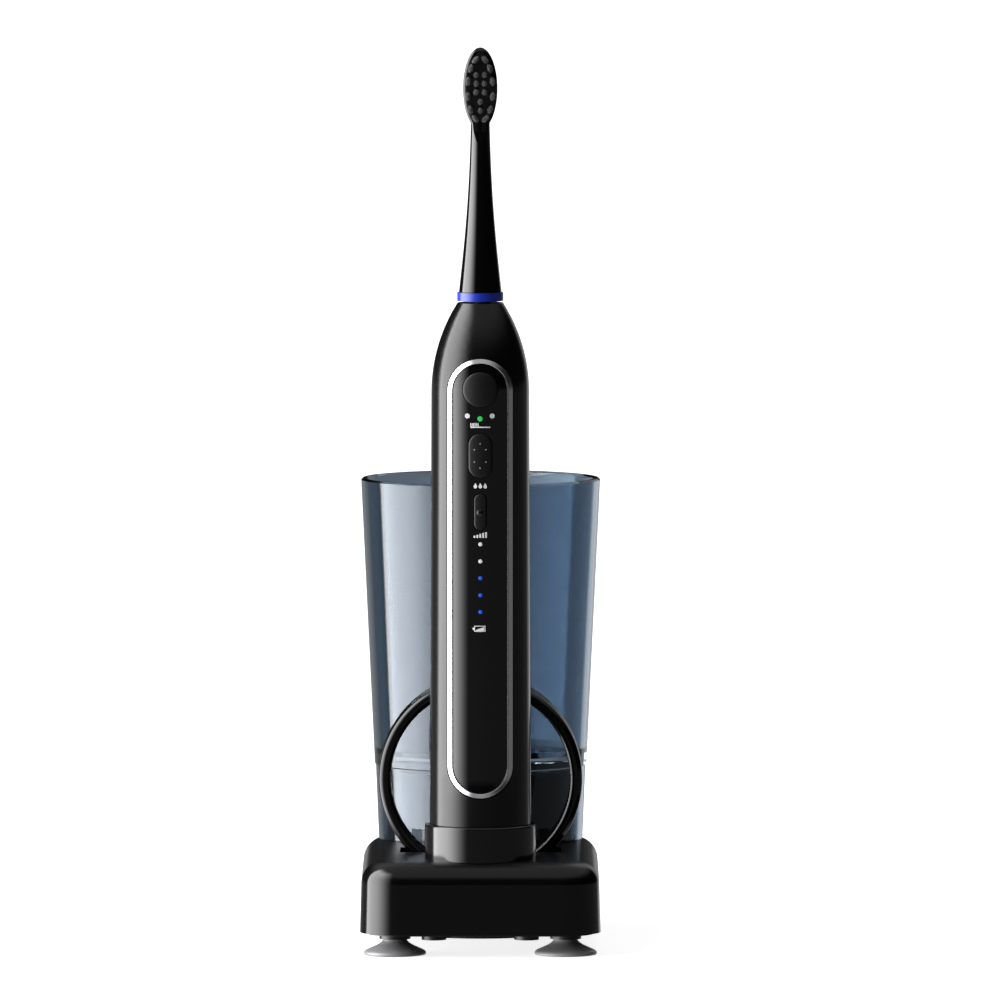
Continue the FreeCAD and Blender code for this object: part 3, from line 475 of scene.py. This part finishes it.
# ---------------------------------------------------------------- bezel ring
# Flat band of satin chromed plastic round the glossy panel, pressed into the handle's window. Its face
# leans outwards a little.
BEZEL_HALF = 0.01125
BEZEL_LOW = 0.0531
BEZEL_HIGH = 0.2049
BEZEL_PROFILE = [
    (0.0, -0.0010),
    (0.0, -0.00018),
    (0.00006, -0.00010),
    (0.00140, 0.00020),
    (0.00150, 0.00014),
    (0.00150, -0.0010),
    (0.0, -0.0010),
]
bezel = stadium_ring("bezel_band", BEZEL_HALF, BEZEL_LOW, BEZEL_HIGH, BEZEL_PROFILE, 480, (False, False))
sharpen = bezel.modifiers.new("edges", "EDGE_SPLIT")
sharpen.split_angle = math.radians(12)
bezel.data.materials.append(finish("bezel_chrome", (0.74, 0.74, 0.75), 0.2, drift=0.06, metallic=1))
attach(bezel, "handle")
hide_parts("bezel_ring")


# ---------------------------------------------------------------- control panel
# Polished black acrylic sheet, clipped in from behind and sunk a quarter of a millimetre inside the bezel,
# with an opening for each key. Its lower end rolls back towards the handle.
PANEL_SUNK = -0.00025
PANEL_THICKNESS = 0.0009
PANEL_HALF = BEZEL_HALF - 0.0015
PANEL_LOW = BEZEL_LOW + 0.0015
PANEL_HIGH = BEZEL_HIGH - 0.0015
ROLL_LENGTH = 0.0085
ROLL_DEPTH = 0.00055
PANEL_RINGS = 44
KEY_GAP = 0.00012
KEY_COLUMNS = 128
BUTTONS = [
    ("power_button", 0.0061, 0.1882, 0.2004),
    ("mode_button", 0.0041, 0.1638, 0.1792),
    ("speed_button", 0.0022, 0.1459, 0.1584),
]


def panel_grid():
    """Rings out from the middle line at the back, then in again on the front. The end rolls as a square."""
    outward = np.linspace(PANEL_HALF, 0, PANEL_RINGS)
    sides = [(inset, PANEL_SUNK - PANEL_THICKNESS) for inset in outward]
    sides += [(inset, PANEL_SUNK) for inset in outward[::-1]]
    rows = []
    for inset, proud in sides:
        across, height = stadium_line(PANEL_HALF - inset, PANEL_LOW + inset, PANEL_HIGH - inset, 240)
        into_roll = np.clip((PANEL_LOW + ROLL_LENGTH - height) / ROLL_LENGTH, 0, 1)
        rows.append(on_handle(across, height, proud - ROLL_DEPTH * into_roll ** 2))
    return np.array(rows)


panel = sheet_mesh("panel_sheet", panel_grid(), capped=(False, False))
welded = bmesh.new()
welded.from_mesh(panel.data)
bmesh.ops.remove_doubles(welded, verts=welded.verts, dist=0.000002)
bmesh.ops.recalc_face_normals(welded, faces=welded.faces)
welded.to_mesh(panel.data)
welded.free()
for key_name, key_half, key_low, key_high in BUTTONS:
    cutter = stadium_ring(key_name + "_opening", key_half + KEY_GAP, key_low - KEY_GAP, key_high + KEY_GAP,
                          [(0, -0.004), (0, 0.002)], KEY_COLUMNS, (True, True))
    opening = panel.modifiers.new(key_name, "BOOLEAN")
    opening.operation = "DIFFERENCE"
    opening.solver = "EXACT"
    opening.object = cutter
bpy.context.view_layer.update()
cut_panel = bpy.data.meshes.new_from_object(panel.evaluated_get(bpy.context.evaluated_depsgraph_get()))
panel.modifiers.clear()
panel.data = cut_panel
panel.data.set_sharp_from_angle(angle=math.radians(30))
for key_name, *_ in BUTTONS:
    bpy.data.objects.remove(bpy.data.objects[key_name + "_opening"])
panel.data.materials.clear()
panel.data.materials.append(finish("panel_gloss", (0.0015, 0.0015, 0.002), 0.04))
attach(panel, "handle")
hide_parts("control_panel")


# ---------------------------------------------------------------- buttons
# Soft-touch keys over one membrane: a round one with a low dome, a long one with six raised dots,
# and a short one with a dished thumb mark.
button_rubber = finish("button_rubber", (0.003, 0.003, 0.0036), 0.42, drift=0.3, grain=(3500, 0.000003),
                       Specular_IOR_Level=0.35)
KEY_EASE = 0.0004


def key_profile(half):
    """Side, rounded edge, then a dome that is a share of a circle across the key."""
    side = [(0.0, -0.0016), (0.0, -0.0006), (0.00008, -0.00034), (KEY_EASE * 0.6, -0.00018)]
    inward = np.linspace(KEY_EASE, half * 0.97, 9)
    dome = [(inset, -0.00014 + 0.00010 * math.sin(math.pi / 2 * inset / half)) for inset in inward]
    return side + dome


for key_name, key_half, key_low, key_high in BUTTONS:
    key = stadium_ring(key_name + "_key", key_half, key_low, key_high, key_profile(key_half), KEY_COLUMNS,
                       (True, True))
    key.data.materials.append(button_rubber)
    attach(key, key_name)
    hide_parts(key_name)


def small_domes(name, spots, radius, rise, base_proud):
    """Lenses or dots at (across, height) spots: rings of a circle, raised as a cosine of their size."""
    share = np.linspace(1, 0.08, 7)
    turn = 2 * math.pi * np.arange(20) / 20
    points, faces = [], []
    for across, height in spots:
        start = len(points)
        rows = [on_handle(across + radius * step * np.cos(turn), height + radius * step * np.sin(turn),
                          base_proud + rise * math.cos(step * math.pi / 2)) for step in share]
        points += np.concatenate(rows).tolist()
        index = start + np.arange(len(share) * len(turn)).reshape(len(share), len(turn))
        beside = np.roll(index, -1, axis=1)
        walls = np.stack([index[:-1], beside[:-1], beside[1:], index[1:]], axis=-1)
        faces += walls.reshape(-1, 4).tolist()
        faces.append(index[-1].tolist())
    mesh = bpy.data.meshes.new(name)
    mesh.from_pydata(points, [], faces)
    mesh.shade_smooth()
    domes = bpy.data.objects.new(name, mesh)
    scene.collection.objects.link(domes)
    return domes


MODE_MIDDLE = 0.1715
DOT_SPOTS = [(0.0, MODE_MIDDLE + 0.00425), (0.0, MODE_MIDDLE - 0.00425)]
DOT_SPOTS += [(0.0020 * side, MODE_MIDDLE + lift) for side in (-1, 1) for lift in (0.00215, -0.0021)]
mode_dots = small_domes("mode_dots", DOT_SPOTS, 0.00024, 0.00016, -0.00006)
mode_dots.data.materials.append(finish("dot_rubber", (0.25, 0.25, 0.26), 0.4))
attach(mode_dots, "mode_button")
thumb_mark = small_domes("thumb_mark", [(-0.0001, 0.1519)], 0.00115, 0.00035, -0.00006)
thumb_mark.data.materials.append(finish("mark_gloss", (0.002, 0.002, 0.0024), 0.12))
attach(thumb_mark, "speed_button")


# ---------------------------------------------------------------- indicator lights
# Small frosted lenses on the panel's face, over the light guides behind it: three white, one green, one
# unlit grey and three blue ones. The green and blue guides are lit; the white and grey ones are unlit, so
# their faint glow is a painted glow.
def light_guide(name, colour, glow):
    """Frosted plastic that gives off its own colour: real light on lit guides, a painted glow on unlit ones.
    """
    return finish(name, colour, 0.35, Emission_Color=(*colour, 1), Emission_Strength=glow)


LIGHTS = [
    # The white and grey guides are unlit: their emission is a painted glow, not light.
    ("indicator_lights_white", "light_white", (0.5, 0.52, 0.5), 0.4,
     [(-0.0045, 0.1853), (0.0, 0.1410), (0.0, 0.1351)]),
    ("indicator_light_green", "light_green", (0.01, 0.30, 0.05), 0.8, [(-0.0001, 0.1843)]),
    ("indicator_light_grey", "light_grey", (0.2, 0.2, 0.21), 0.12, [(0.0041, 0.1853)]),
    ("indicator_lights_blue", "light_blue", (0.008, 0.06, 0.42), 0.7,
     [(0.0, 0.1293), (0.0, 0.1234), (0.0, 0.1176)]),
]
for light_name, light_slot, light_colour, glow, spots in LIGHTS:
    lens = small_domes(light_name + "_lens", spots, 0.00068, 0.00008, PANEL_SUNK + 0.00003)
    lens.data.materials.append(light_guide(light_slot + "_guide", light_colour, glow))
    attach(lens, "handle")


# ---------------------------------------------------------------- printed signs
# Generic signs in pale grey ink on the panel, in place of words: a brush, three drops, a rising row of
# bars and a battery. The ink also gives off a faint white glow, a painted brightness over the print.
PRINT_PROUD = PANEL_SUNK + 0.00004
# Pale grey print ink, with a faint painted glow on top of it.
sign_ink_painted_glow = finish("sign_ink_painted_glow", (0.55, 0.56, 0.57), 0.5, drift=0.05, Emission_Color=(1, 1, 1, 1),
                  Emission_Strength=0.08)


def block(left, low, right, high, slant=0.0):
    """A patch cut into narrow upright strips that follow the curve. Its top falls to the left by slant."""
    steps = max(1, math.ceil((right - left) / 0.0004))
    edges = np.linspace(left, right, steps + 1)
    tops = high - slant * (right - edges) / (right - left)
    return [[(edges[i], low), (edges[i + 1], low), (edges[i + 1], tops[i + 1]), (edges[i], tops[i])]
            for i in range(steps)]


def drop(across, height, radius):
    """A circle drawn up to a point above it."""
    turn = np.linspace(0, 2 * math.pi, 24, endpoint=False)
    pull = np.clip(np.sin(turn), 0, 1) ** 3
    return [list(zip(across + radius * np.cos(turn) * (1 - 0.5 * pull),
                     height + radius * (np.sin(turn) + pull)))]


BRUSH_SIGN = 0.1812
DROP_SIGN = 0.1609
BAR_SIGN = 0.1440
CELL_SIGN = 0.1108
signs = block(-0.0034, BRUSH_SIGN, 0.0034, BRUSH_SIGN + 0.0004)
for tooth in range(6):
    tooth_left = -0.0034 + 0.0005 * tooth
    signs += block(tooth_left, BRUSH_SIGN + 0.0005, tooth_left + 0.0003, BRUSH_SIGN + 0.0016)
for place in (-1, 0, 1):
    signs += drop(0.0017 * place, DROP_SIGN, 0.0006)
for step in range(5):
    bar_left = -0.0023 + 0.001 * step
    signs += block(bar_left, BAR_SIGN - 0.0008, bar_left + 0.0006, BAR_SIGN + 0.0003 * step)
signs += block(-0.0021, CELL_SIGN, 0.0018, CELL_SIGN + 0.00025)
signs += block(-0.0021, CELL_SIGN + 0.0018, 0.0018, CELL_SIGN + 0.00205)
signs += block(-0.0021, CELL_SIGN, -0.00185, CELL_SIGN + 0.0020)
signs += block(0.00155, CELL_SIGN, 0.0018, CELL_SIGN + 0.0020)
signs += block(-0.0026, CELL_SIGN + 0.0006, -0.0021, CELL_SIGN + 0.0014)
signs += block(-0.0016, CELL_SIGN + 0.0003, 0.0014, CELL_SIGN + 0.0017, slant=0.0012)
sign_points, sign_faces = [], []
for outline in signs:
    flat = np.array(outline)
    start = len(sign_points)
    sign_points += on_handle(flat[:, 0], flat[:, 1], PRINT_PROUD).tolist()
    sign_faces.append(list(range(start, start + len(outline))))
sign_mesh = bpy.data.meshes.new("panel_signs")
sign_mesh.from_pydata(sign_points, [], sign_faces)
sign_print = bpy.data.objects.new("panel_signs", sign_mesh)
scene.collection.objects.link(sign_print)
sign_mesh.materials.append(sign_ink_painted_glow)
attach(sign_print, "handle")


# ---------------------------------------------------------------- brush head
# Neck and oval head as one polished moulding. The neck is a slim cone, and its front is cut down in a
# slanting flat to the face that the bristles stand on.
NECK_HEIGHTS = np.array([0.22715, 0.2365, 0.2469, 0.2572, 0.2676, 0.2779, 0.2845, 0.3120])
NECK_RADII = np.array([0.00742, 0.0064, 0.00537, 0.00453, 0.00392, 0.00348, 0.0033, 0.0022])
HEAD_MIDDLE = 0.2975
HEAD_REACH = 0.0142
HEAD_HALF = 0.00596
HEAD_FACE = 0.0017
HEAD_BACK = 0.0022
FLAT_START = 0.2860
FLAT_SLOPE = 0.236
HEAD_ROWS = 360


def soft_curve(at, known, values):
    """A smooth cubic through the known values, so that the cone has no corners."""
    return np.polynomial.Polynomial.fit(known, values, 5)(at)


def brush_grid():
    """Sections from neck to tip. Each is a superellipse: round in the neck, flat-faced in the head."""
    height = np.concatenate([
        np.linspace(NECK_HEIGHTS[0], HEAD_MIDDLE, HEAD_ROWS),
        HEAD_MIDDLE + HEAD_REACH * np.sin(np.linspace(0, math.pi / 2, 90))[1:-1],
    ])
    neck = soft_curve(height, NECK_HEIGHTS, NECK_RADII)
    offset = np.clip((height - HEAD_MIDDLE) / HEAD_REACH, -1, 1)
    head = HEAD_HALF * np.sqrt(np.maximum(1 - offset ** 2, 0))
    share = smooth_step((height - 0.2830) / 0.0045)
    half = np.where(height < HEAD_MIDDLE, np.maximum(head, neck), head)
    middle = share * (HEAD_BACK - HEAD_FACE) / 2
    edge = np.sqrt(np.clip((HEAD_MIDDLE + HEAD_REACH - height) / 0.0012, 0, 1))
    depth = neck * (1 - share) + share * (HEAD_BACK + HEAD_FACE) / 2 * (0.35 + 0.65 * edge)
    power = 1 - 0.52 * share
    turn = 2 * math.pi * np.arange(120) / 120
    cosine, sine = np.cos(turn), np.sin(turn)
    across = half[:, None] * np.sign(cosine) * np.abs(cosine) ** power[:, None]
    away = middle[:, None] + depth[:, None] * np.sign(sine) * np.abs(sine) ** power[:, None]
    flat = HEAD_FACE + FLAT_SLOPE * np.maximum(FLAT_START - height, 0)
    away = np.maximum(away, -flat[:, None])
    up = DATUM + height[:, None] + 0 * turn
    return np.stack([HANDLE_X + across, HANDLE_Y + away, up], axis=-1)


brush = sheet_mesh("brush_moulding", brush_grid())
brush.data.materials.append(finish("brush_gloss", (0.0012, 0.0012, 0.0014), 0.09))
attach(brush, "brush")
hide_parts("brush_body")


# ---------------------------------------------------------------- bristles
# Tufts of black nylon filament stapled in the head: twelve oblong ones round its edge and eight inside.
# Each filament is a thin bar with a rounded tip, and each tuft spreads a little towards its tips. The black
# nylon is coloured mid grey, a painted sheen that makes the tips read as bright strokes.
FILAMENTS = 64
FILAMENT_RADIUS = 0.00010
FILAMENT_SIDES = 6
GOLDEN_TURN = math.pi * (3 - math.sqrt(5))


def tuft(across, height, half, tall, lean, length):
    """Filament feet fill an oval on a golden spiral. Tips spread by a tenth and differ in length."""
    number = np.arange(FILAMENTS)
    ring = np.sqrt((number + 0.5) / FILAMENTS)
    wide, high = half * ring * np.cos(number * GOLDEN_TURN), tall * ring * np.sin(number * GOLDEN_TURN)
    foot_across = across + wide * math.cos(lean) - high * math.sin(lean)
    foot_height = height + wide * math.sin(lean) + high * math.cos(lean)
    reach = length - 0.0009 * ring ** 2 + 0.00025 * np.sin(number * 2.4)
    turn = 2 * math.pi * np.arange(FILAMENT_SIDES) / FILAMENT_SIDES
    foot_depth = HANDLE_Y - HEAD_FACE + 0.0003
    stages = [(0.0, 1.0, 0.0), (0.975, 1.0, 0.12), (0.993, 0.72, 0.123), (1.0, 0.05, 0.124)]
    points = []
    for out, size, spread in stages:
        middle_across = foot_across + spread * (foot_across - across) + 0.02 * out * across
        middle_height = foot_height + spread * (foot_height - height)
        points.append(np.stack([
            HANDLE_X + middle_across[:, None] + size * FILAMENT_RADIUS * np.cos(turn),
            np.broadcast_to(foot_depth - (out * reach)[:, None], (FILAMENTS, FILAMENT_SIDES)),
            DATUM + middle_height[:, None] + size * FILAMENT_RADIUS * np.sin(turn),
        ], axis=-1))
    return np.stack(points, axis=1)


def bristle_piece(name, tufts):
    """All filaments of several tufts as one mesh: rings joined in rows, with the tips closed."""
    bars = np.concatenate(tufts)
    stages = bars.shape[1]
    index = np.arange(bars[..., 0].size).reshape(bars.shape[:3])
    beside = np.roll(index, -1, axis=2)
    walls = np.stack([index[:, :-1], beside[:, :-1], beside[:, 1:], index[:, 1:]], axis=-1).reshape(-1, 4)
    tips = index[:, stages - 1]
    mesh = bpy.data.meshes.new(name)
    mesh.from_pydata(bars.reshape(-1, 3).tolist(), [], walls.tolist() + tips.tolist())
    mesh.shade_smooth()
    piece = bpy.data.objects.new(name, mesh)
    scene.collection.objects.link(piece)
    return piece


edge_tufts = []
for count in range(12):
    angle = math.radians(22 + 26.8 * (count % 6))
    side = 1 if count < 6 else -1
    tuft_across = side * 0.00425 * math.sin(angle)
    tuft_height = HEAD_MIDDLE + 0.0110 * math.cos(angle)
    along = math.atan2(0.0110 * math.sin(angle), 0.00425 * math.cos(angle)) - math.pi / 2
    edge_tufts.append(tuft(tuft_across, tuft_height, 0.00080, 0.00135, -side * along, 0.0105))
# Mid grey in place of the nylon's black is painted sheen for the lit tips. The strong drift is random tone.
bristle_nylon_painted_sheen = finish("bristle_nylon_painted_sheen", (0.2, 0.2, 0.205), 0.16, drift=0.9, grain=(2000, 0.000001))
outer_bristles = bristle_piece("edge_filaments", edge_tufts)
inner_spots = [(0.0014 * side, HEAD_MIDDLE + lift) for lift in (0.005, 0.002, -0.001) for side in (-1, 1)]
inner_spots += [(0.0, HEAD_MIDDLE - 0.0042), (0.0, HEAD_MIDDLE - 0.0073)]
inner_bristles = bristle_piece("middle_filaments",
                               [tuft(x, z, 0.0008, 0.00095, 0.0, 0.0098) for x, z in inner_spots])
for piece, node_name in ((outer_bristles, "outer_bristles"), (inner_bristles, "inner_bristles")):
    piece.data.materials.append(bristle_nylon_painted_sheen)
    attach(piece, "brush")
    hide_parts(node_name)


# ---------------------------------------------------------------- colour ring and jet nozzle
# The ring is dyed plastic that tells one user's brush from another's, slipped on the neck's foot. The
# nozzle is a black moulding pressed into the head.
coat_node(finish("ring_blue", (0.006, 0.022, 0.30), 0.3, drift=0.1), "colour_ring")
coat_node(finish("nozzle_black", (0.002, 0.002, 0.0025), 0.2), "jet_nozzle")


# ---------------------------------------------------------------- inner pieces
# Pump, gears, boards, coils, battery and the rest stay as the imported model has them. Each takes a
# moulded, drawn or wound finish in the colour of its own material.
FINISHES = {"brushed_steel": (0.28, 1), "brass": (0.3, 1), "rubber": (0.55, 0), "matte_plastic": (0.5, 0),
            "gloss_plastic": (0.2, 0)}
slots = {item["slot"]: item for item in frame["record"]["materials"]}
inner_finish = {}
for item in frame["record"]["subparts"]:
    inner = nodes[item["node"]]
    if inner.hide_render or item["node"] in coated_nodes:
        continue
    name = item["material_slot"]
    if name not in inner_finish:
        rough, metal = FINISHES.get(slots[name]["class"], (0.4, 0))
        inner_finish[name] = finish("inner_" + name, slots[name]["base_color"][:3], rough, drift=0.2,
                                    grain=(1500, 0.000004), metallic=metal)
    coat_node(inner_finish[name], item["node"])


# ---------------------------------------------------------------- studio
# A white backdrop behind, one tall softbox on the left that fades towards the front, a dim room in front
# and above, and a pale floor.
FLOOR_HALF = 12
floor_mesh = bpy.data.meshes.new("floor")
floor_mesh.from_pydata([(-FLOOR_HALF, -FLOOR_HALF, 0), (FLOOR_HALF, -FLOOR_HALF, 0),
                        (FLOOR_HALF, FLOOR_HALF, 0), (-FLOOR_HALF, FLOOR_HALF, 0)], [], [(0, 1, 2, 3)])
floor = bpy.data.objects.new("floor", floor_mesh)
floor.location.z = -0.0002
floor.visible_glossy = False
floor.visible_transmission = False
floor.visible_diffuse = False
floor.visible_shadow = False
floor_mesh.materials.append(finish("floor_paint", (0.5, 0.5, 0.5), 0.8, drift=0.01, marks=0.01,
                                   Emission_Color=(1, 1, 1, 1), Emission_Strength=0.82))
scene.collection.objects.link(floor)


def studio_light():
    """The room's light by direction: azimuth is 0 towards the camera and grows to the right."""
    world = bpy.data.worlds.new("studio")
    world.use_nodes = True
    tree = world.node_tree
    tree.nodes.clear()
    link = tree.links.new

    def math_node(operation, *values):
        made = tree.nodes.new("ShaderNodeMath")
        made.operation = operation
        for slot, value in enumerate(values):
            if isinstance(value, (int, float)):
                made.inputs[slot].default_value = value
            else:
                link(value, made.inputs[slot])
        return made.outputs[0]

    def fade(value, nothing, full):
        """0 where value is at nothing, 1 where it is at full, smooth between them."""
        made = tree.nodes.new("ShaderNodeMapRange")
        made.interpolation_type = "SMOOTHSTEP"
        made.inputs["From Min"].default_value = nothing
        made.inputs["From Max"].default_value = full
        link(value, made.inputs["Value"])
        return made.outputs["Result"]

    where = tree.nodes.new("ShaderNodeTexCoord")
    parts = tree.nodes.new("ShaderNodeSeparateXYZ")
    link(where.outputs["Generated"], parts.inputs[0])
    across, away, up = parts.outputs
    azimuth = math_node("DEGREES", math_node("ARCTAN2", across, math_node("MULTIPLY", away, -1)))
    elevation = math_node("DEGREES", math_node("ARCSINE", up))
    left_front = fade(azimuth, -26, -80)
    left_end = fade(azimuth, -116, -111)
    left_top = fade(elevation, 62, 45)
    left_foot = fade(elevation, -40, -20)
    softbox = math_node("MULTIPLY", math_node("MULTIPLY", left_front, left_end),
                        math_node("MULTIPLY", left_top, left_foot))
    turned_away = math_node("ABSOLUTE", azimuth)
    below = fade(elevation, 1, -2)
    backdrop = math_node("MULTIPLY", fade(turned_away, 140, 160), below)
    floor_near = math_node("MULTIPLY", below, fade(elevation, -16, -10))
    floor_under = fade(elevation, -24, -36)
    rim = math_node("MULTIPLY", math_node("MULTIPLY", fade(azimuth, 138, 148), fade(azimuth, 172, 162)),
                    math_node("MULTIPLY", fade(elevation, -20, -10), left_top))
    above = fade(elevation, 22, 50)
    light = math_node("MULTIPLY_ADD", softbox, 12.0, 0.015)
    light = math_node("MULTIPLY_ADD", backdrop, 0.22, light)
    light = math_node("MULTIPLY_ADD", floor_near, 0.17, light)
    light = math_node("MULTIPLY_ADD", floor_under, 0.75, light)
    light = math_node("MULTIPLY_ADD", rim, 0.7, light)
    light = math_node("MULTIPLY_ADD", above, 0.7, light)
    seen = tree.nodes.new("ShaderNodeLightPath")
    strength = tree.nodes.new("ShaderNodeMix")
    strength.data_type = "FLOAT"
    link(seen.outputs["Is Camera Ray"], strength.inputs[0])
    link(light, strength.inputs[2])
    strength.inputs[3].default_value = 1.02
    background = tree.nodes.new("ShaderNodeBackground")
    link(strength.outputs[0], background.inputs["Strength"])
    output = tree.nodes.new("ShaderNodeOutputWorld")
    link(background.outputs[0], output.inputs[0])
    return world


scene.world = studio_light()
scene.view_settings.view_transform = "Standard"
